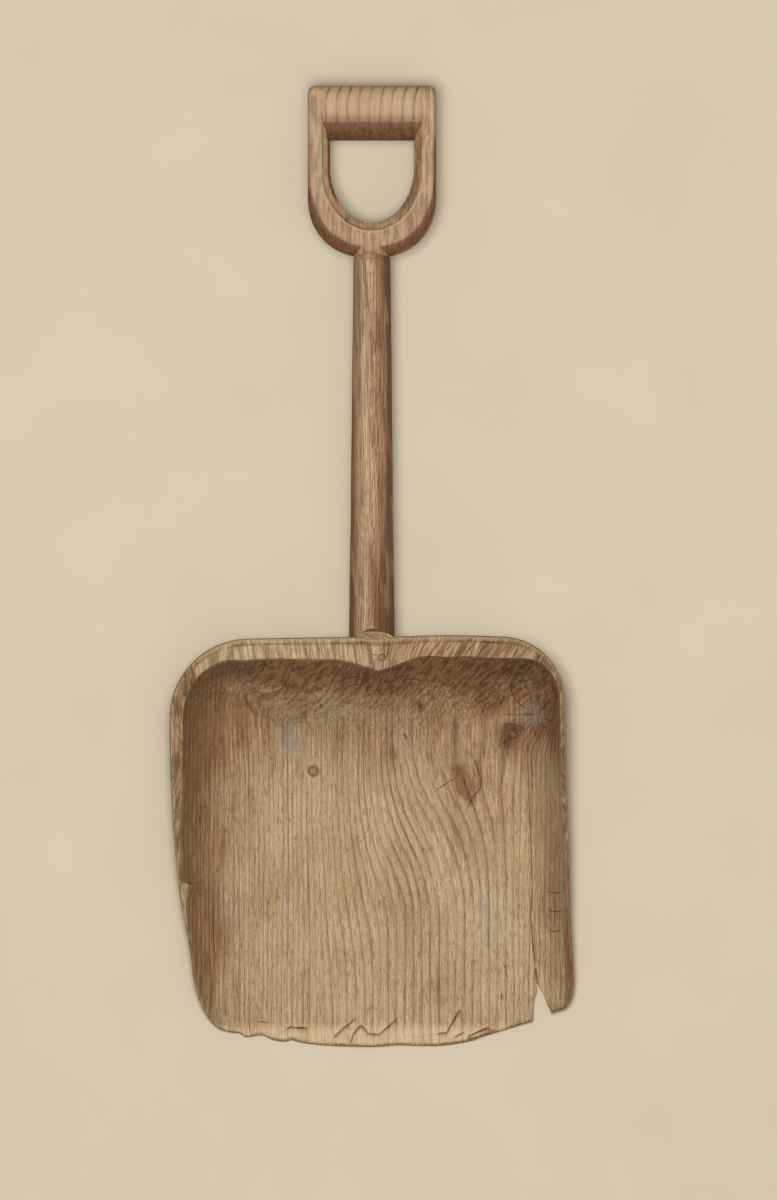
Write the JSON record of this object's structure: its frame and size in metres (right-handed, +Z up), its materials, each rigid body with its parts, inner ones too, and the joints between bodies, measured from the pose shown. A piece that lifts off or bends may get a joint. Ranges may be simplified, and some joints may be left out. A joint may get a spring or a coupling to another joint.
{
  "type": "grain scoop shovel",
  "caption": "Hewn wooden scoop shovel for moving grain and seed, with a deep pan, a straight tapered shaft and a carved D grip.",
  "frame": {"origin": "on the ground, under the middle of the whole shovel as it lies open side up on the flat underside of its pan", "axes": "+Y along the shaft from the lip of the pan to the D grip, +X to the right, +Z up out of the hollow"},
  "size_m": [0.3841, 0.914, 0.096],
  "materials": {
    "weathered_wood": "bare, dry and weathered, with raised grain",
    "handled_wood": "bare, worn smooth and darkened by hands",
    "peg_wood": "bare end grain, dark with age"
  },
  "bodies": {
    "root": {"scoop": "weathered_wood", "shaft": "handled_wood", "d_grip": "handled_wood", "pan_tenon_wedge": "handled_wood", "grip_tenon_wedge": "handled_wood", "pan_tenon_peg": "peg_wood", "floor_plug": "peg_wood"}
  },
  "joints": []
}
